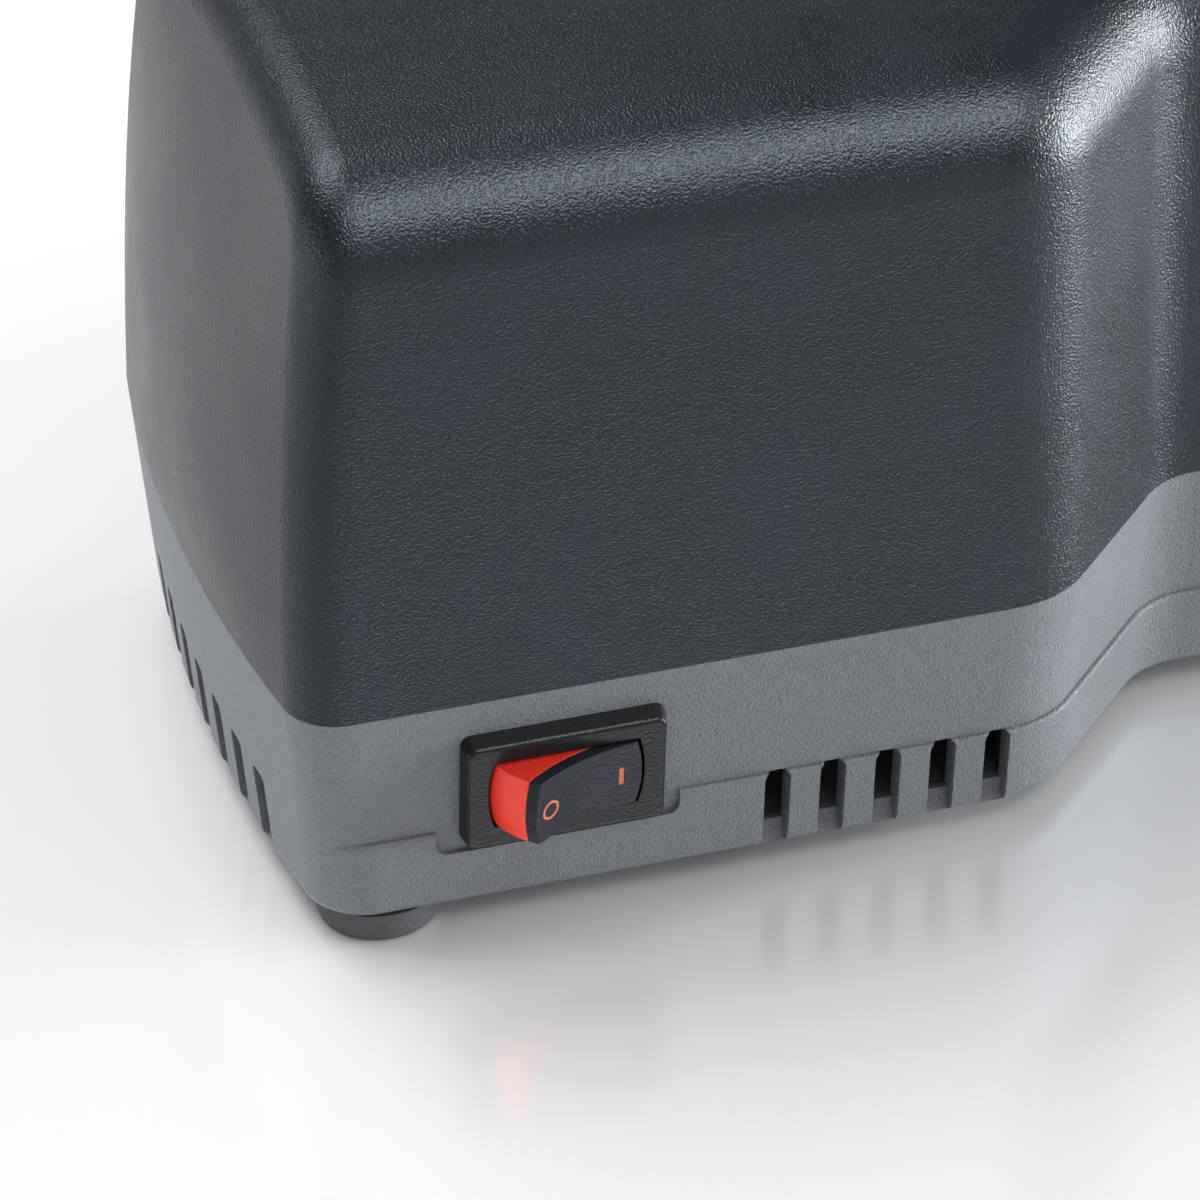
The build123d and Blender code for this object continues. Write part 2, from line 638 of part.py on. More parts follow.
def screw(x, y, seat, tip, radius, head_radius, head_height):
    """A pan-head screw that points up, with a cross recess in its head."""
    body = rod_z(head_radius, seat - head_height, seat, x, y)
    body += rod_z(radius, seat, tip, x, y)
    wing = head_radius * 0.9
    slit = radius * 0.3
    deep = head_height * 0.5
    low = seat - head_height
    body -= block(x - wing / 2, x + wing / 2, y - slit / 2, y + slit / 2, low, low + deep)
    body -= block(x - slit / 2, x + slit / 2, y - wing / 2, y + wing / 2, low, low + deep)
    return body


def case_screws():
    """Screws that pull the cover down on the base."""
    seat = BASE_Z + SCREW_SEAT
    tip = SEAM_Z + SCREW_BITE
    sizes = (SCREW_RADIUS, SCREW_HEAD_RADIUS, SCREW_HEAD_HEIGHT)
    return Compound(children=[screw(x, y, seat, tip, *sizes) for x, y in post_places()])


def motor_screws():
    """Screws that hold the lamination stack on its pads."""
    seat = BASE_Z + STATOR_BASE / 2
    tip = BASE_Z + STATOR_BASE + LEG / 2
    sizes = (SCREW_RADIUS, SCREW_HEAD_RADIUS, SCREW_HEAD_HEIGHT)
    return Compound(children=[screw(x, y, seat, tip, *sizes) for x, y in mount_places()])


def block_screws():
    """Screws that hold the end bearing block on the floor."""
    tip = BASE_Z + BLOCK_SCREW_LENGTH
    sizes = (BLOCK_SCREW_RADIUS, BLOCK_SCREW_HEAD, BLOCK_SCREW_HEAD_HEIGHT)
    return Compound(children=[screw(x, y, BASE_Z, tip, *sizes) for x, y in block_screw_places()])


def slot_line(stage, side):
    """The frame of one knife slot: origin where the blade meets the disc, Z up along the blade."""
    tilt = side * KNIFE_ANGLE
    rise = CONTACT_RADIUS
    cone = DISC_CONE * (DISC_RADIUS - rise) / (DISC_RADIUS - DISC_HUB_RADIUS)
    off = DISC_RIM + cone + SLOT_WIDTH / 2 / math.cos(math.radians(KNIFE_ANGLE))
    return Pos(stage + side * off, 0, SHAFT_Z + rise) * Rot(0, tilt, 0)


def knife_slots():
    """The six slanted slots, each with a flared mouth."""
    below = (SLOT_Z - SHAFT_Z - CONTACT_RADIUS) / math.cos(math.radians(KNIFE_ANGLE))
    slots = []
    for stage in STAGE_X:
        for side in (-1, 1):
            frame = slot_line(stage, side)
            slab = block(-SLOT_WIDTH / 2, SLOT_WIDTH / 2, -HALF, HALF, below, HALF)
            slots.append(frame * slab)
            mouth = Pos(0, 0, (MODULE_TOP_Z - SHAFT_Z - CONTACT_RADIUS) / math.cos(math.radians(KNIFE_ANGLE)))
            flare = Rot(0, 45, 0) * Box(SLOT_WIDTH / 2 + SLOT_FLARE, DEPTH, SLOT_WIDTH / 2 + SLOT_FLARE)
            slots.append(frame * mouth * flare)
    return slots


def magnet_blocks():
    """The guide magnets, each with its face level with a slot's outer wall."""
    blocks = []
    half = MAGNET_LENGTH / 2
    up = (SEAM_Z + MAGNET_RISE - SHAFT_Z - CONTACT_RADIUS) / math.cos(math.radians(KNIFE_ANGLE))
    for stage in STAGE_X:
        for side in (-1, 1):
            near = side * SLOT_WIDTH / 2
            far = near + side * MAGNET_THICK
            low = up - MAGNET_HEIGHT / 2
            piece = block(min(near, far), max(near, far), -half, half, low, low + MAGNET_HEIGHT)
            blocks.append(slot_line(stage, side) * piece)
    return blocks


def guide_module():
    """Black insert on top of the sharpening section, with slots, disc pockets and magnet recesses."""
    start = MODULE_X + MODULE_GAP
    module = cover_form(0) & block(start, FAR, -HALF, HALF, MODULE_Z, MODULE_TOP_Z)
    top = module.faces().sort_by(Axis.Z)[-1]
    rims = [e for e in top.edges() if e.center().X > start + 1.0]
    module = fillet(rims, MODULE_EDGE)
    tongue = DECK_HALF - WALL - LIP_GAP
    draft = MODULE_FOOT * math.tan(math.radians(COVER_DRAFT))
    tongue -= draft
    x0 = start + TONGUE_SHORT
    x1 = RIGHT_X - WALL - draft - TONGUE_SHORT
    for side in (-1, 1):
        y0 = side * tongue
        y1 = side * (tongue - LIP_WALL)
        module += block(x0, x1, min(y0, y1), max(y0, y1), MODULE_Z - LIP_HEIGHT, MODULE_Z)
    for stage in STAGE_X:
        reach = DISC_HUB_END + DISC_ROOM
        module -= rod_x(DISC_RADIUS + DISC_ROOM, stage - reach, stage + reach)
    for slot in knife_slots():
        module -= slot
    for magnet in magnet_blocks():
        module -= magnet
    return module


def guide_magnets():
    """Six bar magnets that draw the blade to its guide face."""
    return Compound(children=magnet_blocks())


def half_disc_profile():
    """Half section of a conical disc: distance from the stage middle against radius."""
    bore = SHAFT_RADIUS + RUN_CLEAR
    hub_in = DISC_RIM + DISC_CONE - DISC_WALL
    points = [
        (hub_in, bore),
        (DISC_HUB_END, bore),
        (DISC_HUB_END, DISC_HUB_RADIUS),
        (DISC_RIM + DISC_CONE, DISC_HUB_RADIUS),
        (DISC_RIM, DISC_RADIUS),
        (DISC_RIM - DISC_WALL, DISC_RADIUS),
        (hub_in, DISC_HUB_RADIUS),
    ]
    return points


def disc(stage, side):
    """Conical abrasive disc: a dished ring on a hub, with a slot for its drive pin."""
    points = [(side * x, r) for x, r in half_disc_profile()]
    section = Plane.XZ * make_face(Polyline(*points, close=True))
    body = revolve(section, Axis.X)
    pin = DISC_HUB_END - PIN_RADIUS + FIT_CLEAR
    floor = pin - PIN_RADIUS - FIT_CLEAR
    inner = side * floor
    outer = side * (DISC_HUB_END + 1.0)
    half = PIN_RADIUS + PIN_CLEAR
    slot = block(min(inner, outer), max(inner, outer), -half, half, -DISC_RADIUS, DISC_RADIUS)
    return Pos(stage, 0, SHAFT_Z) * (body - slot)


def pin_places():
    """Middles of the drive pins along the shaft."""
    off = DISC_HUB_END - PIN_RADIUS + FIT_CLEAR
    return [stage + side * off for stage in STAGE_X for side in (-1, 1)]


def drive_pins():
    """Cross pins that turn the discs and stop them."""
    pins = []
    for x in pin_places():
        pins.append(Pos(x, 0, SHAFT_Z) * Cylinder(PIN_RADIUS, 2 * PIN_REACH))
    return Compound(children=pins)


def motor_shaft():
    """One long steel shaft from the fan through the motor to the end bearing."""
    shaft = rod_x(SHAFT_RADIUS, SHAFT_START, SHAFT_END)
    for x in pin_places():
        shaft -= Pos(x, 0, SHAFT_Z) * Cylinder(PIN_RADIUS + FIT_CLEAR, 4 * SHAFT_RADIUS)
    return shaft


def disc_spring(stage):
    """Compression spring between the two hubs of one stage."""
    reach = DISC_RIM + DISC_CONE - DISC_WALL - SPRING_SEAT - SPRING_WIRE
    turns = SPRING_COILS
    path = Helix(pitch=2 * reach / turns, height=2 * reach, radius=SPRING_RADIUS)
    start = Plane(origin=path @ 0, z_dir=path % 0)
    wire = sweep(start * Circle(SPRING_WIRE), path=path, is_frenet=True)
    return Pos(stage - reach, 0, SHAFT_Z) * Rot(0, 90, 0) * wire


def shade_frame(turn):
    """The frame of one shading ring: X along the shaft, Y out along the radius."""
    return Pos(0, 0, SHAFT_Z) * Rot(turn, 0, 0)


def shade_bars(grow):
    """The two bars of a shading ring, inside the lamination stack."""
    half = SHADE_WIDTH / 2 + grow
    near = BORE_RADIUS + SHADE_SKIN
    bars = []
    for y in (near, near + SHADE_SPAN):
        low = y - grow
        high = y + SHADE_DEEP + grow
        bars.append(block(STACK_X[0] - 1.0, STACK_X[1] + 1.0, low, high, -half, half))
    return bars


def shading_rings():
    """Two copper rings, one in each pole."""
    rings = []
    half = SHADE_WIDTH / 2
    near = BORE_RADIUS + SHADE_SKIN
    far = near + SHADE_SPAN + SHADE_DEEP
    for turn in (SHADE_ANGLE, SHADE_ANGLE + 180):
        ring = shade_bars(0)[0] + shade_bars(0)[1]
        for x in (STACK_X[0] - SHADE_WIDTH - SHADE_CLEAR, STACK_X[1] + SHADE_CLEAR):
            ring += block(x, x + SHADE_WIDTH, near, far, -half, half)
        rings.append(shade_frame(turn) * ring)
    return Compound(children=rings)


def stator_laminations():
    """Laminated steel frame: a pole block round the rotor and a leg that carries the coil."""
    x0, x1 = STACK_X
    low = BASE_Z + STATOR_BASE
    stack = block(x0, x1, -STATOR_HALF, STATOR_HALF, low, SHAFT_Z + STATOR_TOP)
    window = STATOR_HALF - LEG
    stack -= block(x0, x1, -window, window, low + LEG, SHAFT_Z - POLE_DEPTH)
    stack -= rod_x(BORE_RADIUS, x0, x1)
    for turn in (SHADE_ANGLE, SHADE_ANGLE + 180):
        for bar in shade_bars(SHADE_CLEAR):
            stack -= shade_frame(turn) * bar
    for y in (-BOLT_OFFSET, BOLT_OFFSET):
        stack -= rod_x(BOLT_RADIUS + SCREW_CLEAR, x0, x1, y)
    for x, y in mount_places():
        stack -= rod_z(SCREW_RADIUS + THREAD_CLEAR, low, low + LEG / 2 + 1.0, x, y)
    return stack


def coil_box(grow, half_length):
    """A box round the coil leg, grown by a margin."""
    mid = BASE_Z + STATOR_BASE + LEG / 2
    half_x = STACK / 2 + grow
    half_z = LEG / 2 + grow
    return block(MOTOR_X - half_x, MOTOR_X + half_x, -half_length, half_length, mid - half_z, mid + half_z)


def coil_bobbin():
    """Moulded bobbin on the coil leg."""
    length = STATOR_HALF - LEG - COIL_MARGIN
    tube = BOBBIN_CLEAR + BOBBIN_WALL
    flange = tube + COIL_BUILD + COIL_MARGIN
    bobbin = coil_box(flange, length) - coil_box(tube, FAR)
    bobbin -= coil_box(FAR, length - BOBBIN_FLANGE)
    bobbin += coil_box(tube, length)
    return bobbin - coil_box(BOBBIN_CLEAR, FAR)


def coil_winding():
    """Copper winding on the bobbin, with rounded outer corners."""
    length = STATOR_HALF - LEG - COIL_MARGIN - BOBBIN_FLANGE
    tube = BOBBIN_CLEAR + BOBBIN_WALL
    coil = coil_box(tube + COIL_BUILD, length)
    long_edges = [e for e in coil.edges() if abs(e.tangent_at(0.5).Y) > 0.9]
    coil = fillet(long_edges, COIL_ROUND)
    return coil - coil_box(tube, FAR)


def bracket(side):
    """Cast end bracket: two legs on the stack, a bar and a hub for the bush."""
    if side < 0:
        face, plate, hub = STACK_X[0], BRACKET_X[0], BUSH_X[0]
    else:
        face, plate, hub = STACK_X[1], BRACKET_X[1], BUSH_X[1]
    inner = plate - side * BRACKET_THICK
    half = BRACKET_HEIGHT / 2
    z0, z1 = SHAFT_Z - half, SHAFT_Z + half
    body = block(min(inner, plate), max(inner, plate), -BRACKET_HALF, BRACKET_HALF, z0, z1)
    for y in (-BRACKET_HALF, BRACKET_HALF - BRACKET_LEG):
        body += block(min(face, inner), max(face, inner), y, y + BRACKET_LEG, z0, z1)
    back = hub - side * BUSH_LENGTH
    body += rod_x(HUB_RADIUS, min(hub, back), max(hub, back))
    body -= rod_x(BUSH_RADIUS, min(hub, back), max(hub, back))
    for y in (-BOLT_OFFSET, BOLT_OFFSET):
        body -= rod_x(BOLT_RADIUS + SCREW_CLEAR, min(face, plate), max(face, plate), y)
    return body


def bush(side):
    """Sintered bronze bush in an end bracket."""
    hub = BUSH_X[0] if side < 0 else BUSH_X[1]
    back = hub - side * BUSH_LENGTH
    body = rod_x(BUSH_RADIUS - FIT_CLEAR, min(hub, back), max(hub, back))
    return body - rod_x(SHAFT_RADIUS + RUN_CLEAR, min(hub, back), max(hub, back))


def motor_bolts():
    """Two through bolts with nuts that clamp brackets and laminations."""
    bolts = []
    hexagon = RegularPolygon(BOLT_HEAD, 6)
    for y in (-BOLT_OFFSET, BOLT_OFFSET):
        bolt = rod_x(BOLT_RADIUS, BRACKET_X[0], BRACKET_X[1] + BOLT_HEAD_HEIGHT, y)
        head = extrude(Plane.YZ * hexagon, BOLT_HEAD_HEIGHT)
        bolt += Pos(BRACKET_X[0] - BOLT_HEAD_HEIGHT, y, SHAFT_Z) * head
        bolt += Pos(BRACKET_X[1], y, SHAFT_Z) * head
        bolts.append(bolt)
    return Compound(children=bolts)


def rotor_core():
    """Laminated rotor, pressed on the shaft."""
    core = rod_x(BORE_RADIUS - AIR_GAP, *STACK_X)
    return core - rod_x(SHAFT_RADIUS + FIT_CLEAR, *STACK_X)


def rotor_rings():
    """Cast end rings of the rotor cage."""
    rings = []
    radius = BORE_RADIUS - AIR_GAP - ROTOR_RING_DROP
    for x in (STACK_X[0] - ROTOR_RING, STACK_X[1]):
        ring = rod_x(radius, x, x + ROTOR_RING)
        rings.append(ring - rod_x(SHAFT_RADIUS + FIT_CLEAR, x, x + ROTOR_RING))
    return Compound(children=rings)


def cooling_fan():
    """Moulded fan with pitched blades on a hub."""
    x0 = FAN_X - FAN_LENGTH
    fan = rod_x(FAN_HUB, x0, FAN_X)
    span = FAN_RADIUS - FAN_HUB + 1.0
    swept = (FAN_LENGTH - FAN_BLADE_THICK) / math.cos(math.radians(FAN_PITCH_ANGLE))
    blade = Box(swept, FAN_BLADE_THICK, span)
    blade = Pos(0, 0, FAN_HUB - 1.0 + span / 2) * Rot(0, 0, FAN_PITCH_ANGLE) * blade
    blade = blade & Rot(0, 90, 0) * Cylinder(FAN_RADIUS, FAN_LENGTH)
    for i in range(FAN_BLADES):
        fan += Pos((x0 + FAN_X) / 2, 0, SHAFT_Z) * Rot(360 * i / FAN_BLADES, 0, 0) * blade
    return fan - rod_x(SHAFT_RADIUS + FIT_CLEAR, x0, FAN_X)


def thrust_washer():
    """Washer between the fan and the left bush."""
    x0 = FAN_X + SIDE_PLAY
    ring = rod_x(WASHER_RADIUS, x0, x0 + WASHER_LENGTH)
    return ring - rod_x(SHAFT_RADIUS + FIT_CLEAR, x0, x0 + WASHER_LENGTH)


def shaft_collar():
    """Collar with a set-screw hole beside the right bush."""
    x0 = BUSH_X[1] + SIDE_PLAY
    x1 = x0 + COLLAR_LENGTH
    ring = rod_x(COLLAR_RADIUS, x0, x1) - rod_x(SHAFT_RADIUS + FIT_CLEAR, x0, x1)
    return ring - rod_z(COLLAR_SCREW, SHAFT_Z, SHAFT_Z + 2 * COLLAR_RADIUS, (x0 + x1) / 2, 0)


def bearing_block():
    """Moulded stand at the right end that carries the shaft's end bush."""
    x1 = BLOCK_X + BLOCK_THICK
    stand = block(BLOCK_X, x1, -BLOCK_HALF, BLOCK_HALF, FLOOR_Z, SHAFT_Z + BLOCK_TOP)
    tall = [e for e in stand.edges() if abs(e.tangent_at(0.5).X) > 0.9 and e.center().Z > SHAFT_Z]
    stand = fillet(tall, BLOCK_ROUND)
    stand += block(x1 - BLOCK_FOOT, x1, -BLOCK_HALF, BLOCK_HALF, FLOOR_Z, FLOOR_Z + BLOCK_FOOT_HEIGHT)
    corner = stand.edges().filter_by(Axis.Y).group_by(Axis.Z)[0].sort_by(Axis.X)[-1]
    stand = chamfer(corner, BLOCK_CHAMFER)
    stand -= rod_x(BUSH_RADIUS, BLOCK_X, x1)
    for x, y in block_screw_places():
        stand -= rod_z(BLOCK_SCREW_RADIUS + THREAD_CLEAR, FLOOR_Z, BASE_Z + BLOCK_SCREW_LENGTH + 1.0, x, y)
    return stand


def end_bush():
    """Flanged bronze bush in the end bearing block."""
    x1 = BLOCK_X + BLOCK_THICK
    body = rod_x(BUSH_RADIUS - FIT_CLEAR, BLOCK_X, x1)
    body += rod_x(BUSH_FLANGE, BLOCK_X - BUSH_RIM, BLOCK_X)
    return body - rod_x(SHAFT_RADIUS + RUN_CLEAR, BLOCK_X - BUSH_RIM, x1)


def dust_shield():
    """Plate that keeps grinding dust out of the motor housing."""
    x = TURN_IN_X + SHIELD_PLACE
    half = DECK_HALF - WALL - LIP_GAP - LIP_WALL - SHIELD_SIDE
    plate = block(x, x + SHIELD_THICK, -half, half, FLOOR_Z, SEAM_Z + SHIELD_RISE)
    corners = plate.edges().filter_by(Axis.X).group_by(Axis.Z)[-1]
    return fillet(corners, SHIELD_CORNER) - rod_x(SHIELD_HOLE, x, x + SHIELD_THICK)


def barrel(radius, width, bulge):
    """A drum about Y whose side swells in the middle, as the ends of the rocker do."""
    half = width / 2
    edges = [
        Line((0, -half), (radius - bulge, -half)),
        ThreePointArc((radius - bulge, -half), (radius, 0), (radius - bulge, half)),
        Line((radius - bulge, half), (0, half)),
        Line((0, half), (0, -half)),
    ]
    return revolve(make_face(Wire(edges)), Axis.Y)


def pivot_frame():
    """The rocker's pivot in the switch's own frame."""
    return Pos(0, 0, -PIVOT_DEEP)


def switch_housing():
    """Switch body with its raised bezel and the drum-shaped well that the rocker turns in."""
    face = Rectangle(BEZEL_WIDTH, BEZEL_HEIGHT)
    low = fillet(face.vertices(), BEZEL_CORNER)
    narrow = Rectangle(BEZEL_WIDTH - BEZEL_EDGE, BEZEL_HEIGHT - BEZEL_SLOPE)
    high = fillet((Pos(0, -BEZEL_SLOPE / 2, BEZEL_PROUD) * narrow).vertices(), BEZEL_CORNER)
    housing = loft([low, high])
    front = housing.faces().sort_by(Axis.Z)[-1]
    housing = fillet(front.edges(), BEZEL_EDGE)
    body = Box(SWITCH_BODY_WIDTH, SWITCH_BODY_HEIGHT, SWITCH_BODY_DEPTH, align=(Align.CENTER, Align.CENTER, Align.MAX))
    housing += body
    well = barrel(ROCKER_RADIUS + ROCKER_CLEAR, ROCKER_WIDTH + 2 * ROCKER_CLEAR, ROCKER_BARREL)
    sockets = Rot(90, 0, 0) * Cylinder(PIVOT_PIN + RUN_CLEAR, ROCKER_WIDTH + 2 * PIVOT_PIN_LENGTH + 2 * ROCKER_CLEAR)
    housing -= pivot_frame() * well
    housing -= pivot_frame() * sockets
    return switch_plane().location * housing


def cap_curve(tip_angle, sink):
    """Concave curve across the rocker, from tip to tip of its drum."""
    angle = math.radians(tip_angle)
    x = ROCKER_RADIUS * math.sin(angle)
    z = ROCKER_RADIUS * math.cos(angle)
    middle = ROCKER_RADIUS * math.cos(math.radians(ROCKER_TIP_ANGLE)) - ROCKER_HOLLOW - sink
    return (x, z), (0, middle)


def rocker_region(tip_angle, sink, low):
    """What lies under a cap curve and above a level, across the whole width of the rocker."""
    (x, z), (_, middle) = cap_curve(tip_angle, sink)
    wide = ROCKER_RADIUS + 1.0
    edges = [
        Line((-wide, low), (wide, low)),
        Line((wide, low), (wide, z)),
        Line((wide, z), (x, z)),
        ThreePointArc((x, z), (0, middle), (-x, z)),
        Line((-x, z), (-wide, z)),
        Line((-wide, z), (-wide, low)),
    ]
    return extrude(Plane.XZ * make_face(Wire(edges)), ROCKER_WIDTH, both=True)


def rocker_frame():
    """The rocker at rest: pressed at its right end, so its left end stands out."""
    return switch_plane().location * pivot_frame() * Rot(0, ROCKER_TILT, 0)


def rocker_cap():
    """Black dished cap of the rocker."""
    drum = barrel(ROCKER_RADIUS, ROCKER_WIDTH, ROCKER_BARREL)
    whole = drum & rocker_region(ROCKER_TIP_ANGLE, 0, 0)
    under = rocker_region(ROCKER_TIP_ANGLE + CAP_EDGE_ANGLE, CAP_THICK - CAP_GAP, -1.0)
    return rocker_frame() * (whole - under)


def rocker_body():
    """Red body of the rocker with its two pivot pins."""
    drum = barrel(ROCKER_RADIUS, ROCKER_WIDTH, ROCKER_BARREL)
    body = drum & rocker_region(ROCKER_TIP_ANGLE + CAP_EDGE_ANGLE, CAP_THICK, -ROCKER_SKIRT)
    body += Rot(90, 0, 0) * Cylinder(PIVOT_PIN, ROCKER_WIDTH + 2 * PIVOT_PIN_LENGTH)
    return rocker_frame() * body


def switch_terminals():
    """Three blade terminals on the back of the switch."""
    blades = []
    for i in (-1, 0, 1):
        blade = Box(TERMINAL_WIDTH, TERMINAL_THICK, TERMINAL_LENGTH, align=(Align.CENTER, Align.CENTER, Align.MAX))
        blades.append(switch_plane().location * Pos(i * TERMINAL_PITCH, 0, -SWITCH_BODY_DEPTH) * blade)
    return Compound(children=blades)


def cord_gland():
    """Inlet for the mains lead: rim and nose outside the wall, threaded body and nut inside."""
    up = (Align.CENTER, Align.CENTER, Align.MIN)
    down = (Align.CENTER, Align.CENTER, Align.MAX)
    gland = Cylinder(GLAND_RIM_RADIUS, GLAND_RIM, align=up)
    nose = Cylinder(GLAND_NOSE_RADIUS, GLAND_PROUD, align=up)
    gland += fillet(nose.edges().sort_by(Axis.Z)[-1], GLAND_EDGE)
    gland += Cylinder(GLAND_BODY_RADIUS, GLAND_TAIL, align=down)
    nut = extrude(RegularPolygon(GLAND_RIM_RADIUS, 6), GLAND_NUT, dir=(0, 0, -1))
    gland += Pos(0, 0, -WALL - SKIRT_PROUD) * nut
    gland -= Cylinder(GLAND_BORE, 4 * GLAND_TAIL)
    return gland_plane().location * gland


def parts():
    """Every sub-part by the name of its node."""
    nodes = {
        "top_cover": top_cover(),
        "base_tray": base_tray(),
        "guide_module": guide_module(),
        "guide_magnets": guide_magnets(),
        "case_screws": case_screws(),
        "switch_housing": switch_housing(),
        "switch_terminals": switch_terminals(),
        "rocker_cap": rocker_cap(),
        "rocker_body": rocker_body(),
        "cord_gland": cord_gland(),
        "stator_laminations": stator_laminations(),
        "shading_rings": shading_rings(),
        "coil_bobbin": coil_bobbin(),
        "coil_winding": coil_winding(),
        "motor_bracket_left": bracket(-1),
        "motor_bracket_right": bracket(1),
        "motor_bush_left": bush(-1),
        "motor_bush_right": bush(1),
        "motor_bolts": motor_bolts(),
        "motor_screws": motor_screws(),
        "rotor_core": rotor_core(),
        "rotor_rings": rotor_rings(),
        "motor_shaft": motor_shaft(),
        "cooling_fan": cooling_fan(),
        "thrust_washer": thrust_washer(),
        "shaft_collar": shaft_collar(),
        "drive_pins": drive_pins(),
        "bearing_block": bearing_block(),
        "block_screws": block_screws(),
        "end_bush": end_bush(),
        "dust_shield": dust_shield(),
        "clean_out_door": clean_out_door(),
        "filings_magnet": filings_magnet(),
    }
    for name, place in foot_places().items():
        nodes[name] = foot(*place)
    for number, stage in enumerate(STAGE_X, start=1):
        nodes[f"disc_{number}_left"] = disc(stage, -1)
        nodes[f"disc_{number}_right"] = disc(stage, 1)
        nodes[f"disc_spring_{number}"] = disc_spring(stage)
    return nodes


os.makedirs("parts", exist_ok=True)
for name, shape in parts().items():
    export_step(shape, f"parts/{name}.step")
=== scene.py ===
import json
import math

import bpy
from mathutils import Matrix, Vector


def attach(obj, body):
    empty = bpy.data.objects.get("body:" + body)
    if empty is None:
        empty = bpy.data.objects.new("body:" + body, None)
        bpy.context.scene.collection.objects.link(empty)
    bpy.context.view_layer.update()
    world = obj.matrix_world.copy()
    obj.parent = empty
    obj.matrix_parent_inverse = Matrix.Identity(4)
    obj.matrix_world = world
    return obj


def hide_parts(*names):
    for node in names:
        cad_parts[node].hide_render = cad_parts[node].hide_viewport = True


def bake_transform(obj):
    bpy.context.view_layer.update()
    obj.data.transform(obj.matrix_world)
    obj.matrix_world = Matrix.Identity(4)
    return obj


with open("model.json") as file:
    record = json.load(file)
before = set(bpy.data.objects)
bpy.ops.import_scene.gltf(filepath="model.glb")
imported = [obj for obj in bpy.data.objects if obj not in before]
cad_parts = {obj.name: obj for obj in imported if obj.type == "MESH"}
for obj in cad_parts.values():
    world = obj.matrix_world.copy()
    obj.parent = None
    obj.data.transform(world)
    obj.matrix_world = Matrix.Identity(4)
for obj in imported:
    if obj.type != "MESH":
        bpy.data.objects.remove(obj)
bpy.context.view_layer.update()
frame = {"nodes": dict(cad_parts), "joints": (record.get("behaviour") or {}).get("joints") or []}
nodes = frame["nodes"]


# Camera: a long lens to the front left of the motor end, looking down on it. The motor block, the switch
# and the front vents fill the frame, and the sharpening section runs out of it.

camera_place = (-0.28106, -0.68886, 0.49466)
camera_turn = math.radians(17.4)
camera_drop = math.radians(33.5)

long_lens = bpy.data.cameras.new("long_lens")
long_lens.sensor_width = 36.0
long_lens.lens = 177.0
long_lens.clip_start = 0.01
long_lens.clip_end = 50.0
camera = bpy.data.objects.new("camera", long_lens)
camera.location = camera_place
look = Vector((
    math.sin(camera_turn) * math.cos(camera_drop),
    math.cos(camera_turn) * math.cos(camera_drop),
    -math.sin(camera_drop),
))
camera.rotation_euler = look.to_track_quat("-Z", "Y").to_euler()
bpy.context.collection.objects.link(camera)
bpy.context.scene.camera = camera
bpy.context.scene.view_settings.view_transform = "Standard"


# Table: a sheet of white acrylic. It shows what stands on it as a soft reflection that fades within a few
# centimetres, and runs out into the white surround.

table_half = 6.0
acrylic_white = (0.97, 0.98, 0.99, 1)
acrylic_gloss = (0.97, 0.98, 1.0, 1)
acrylic_roughness = 0.16
acrylic_gloss_share = 0.30

table_mesh = bpy.data.meshes.new("table_sheet")
table_mesh.from_pydata(
    [(-table_half, -table_half, 0), (table_half, -table_half, 0),
     (table_half, table_half, 0), (-table_half, table_half, 0)],
    [], [(0, 1, 2, 3)],
)
table = bpy.data.objects.new("table_sheet", table_mesh)
bpy.context.collection.objects.link(table)

acrylic = bpy.data.materials.new("white_acrylic")
acrylic.use_nodes = True
acrylic_tree = acrylic.node_tree
acrylic_tree.nodes.clear()
white = acrylic_tree.nodes.new("ShaderNodeBsdfDiffuse")
white.inputs["Color"].default_value = acrylic_white
gloss = acrylic_tree.nodes.new("ShaderNodeBsdfGlossy")
gloss.inputs["Color"].default_value = acrylic_gloss
gloss.inputs["Roughness"].default_value = acrylic_roughness
polished = acrylic_tree.nodes.new("ShaderNodeMixShader")
polished.inputs[0].default_value = acrylic_gloss_share
acrylic_out = acrylic_tree.nodes.new("ShaderNodeOutputMaterial")
acrylic_tree.links.new(white.outputs[0], polished.inputs[1])
acrylic_tree.links.new(gloss.outputs[0], polished.inputs[2])
acrylic_tree.links.new(polished.outputs[0], acrylic_out.inputs[0])
table_mesh.materials.append(acrylic)


# Surround: a white tent that is open above. What looks at it, or mirrors it, sees it white up to the
# opening; its even light on matt surfaces is held lower.

tent_colour = (0.97, 0.985, 1.0, 1)
tent_strength = 0.26
opening_starts = 0.04
opening_ends = 0.22
opening_tone = (0.18, 0.18, 0.19, 1)

surround = bpy.data.worlds.new("white_surround")
surround.use_nodes = True
bpy.context.scene.world = surround
tent_tree = surround.node_tree
tent_tree.nodes.clear()
tent_light = tent_tree.nodes.new("ShaderNodeBackground")
tent_light.inputs["Color"].default_value = tent_colour
tent_light.inputs["Strength"].default_value = tent_strength

direction = tent_tree.nodes.new("ShaderNodeTexCoord")
split = tent_tree.nodes.new("ShaderNodeSeparateXYZ")
tent_tree.links.new(direction.outputs["Generated"], split.inputs[0])
opening = tent_tree.nodes.new("ShaderNodeValToRGB")
opening.color_ramp.elements[0].position = opening_starts
opening.color_ramp.elements[0].color = (1, 1, 1, 1)
opening.color_ramp.elements[1].position = opening_ends
opening.color_ramp.elements[1].color = opening_tone
tent_tree.links.new(split.outputs["Z"], opening.inputs["Fac"])
seen_white = tent_tree.nodes.new("ShaderNodeBackground")
seen_white.inputs["Strength"].default_value = 1.0
tent_tree.links.new(opening.outputs["Color"], seen_white.inputs["Color"])

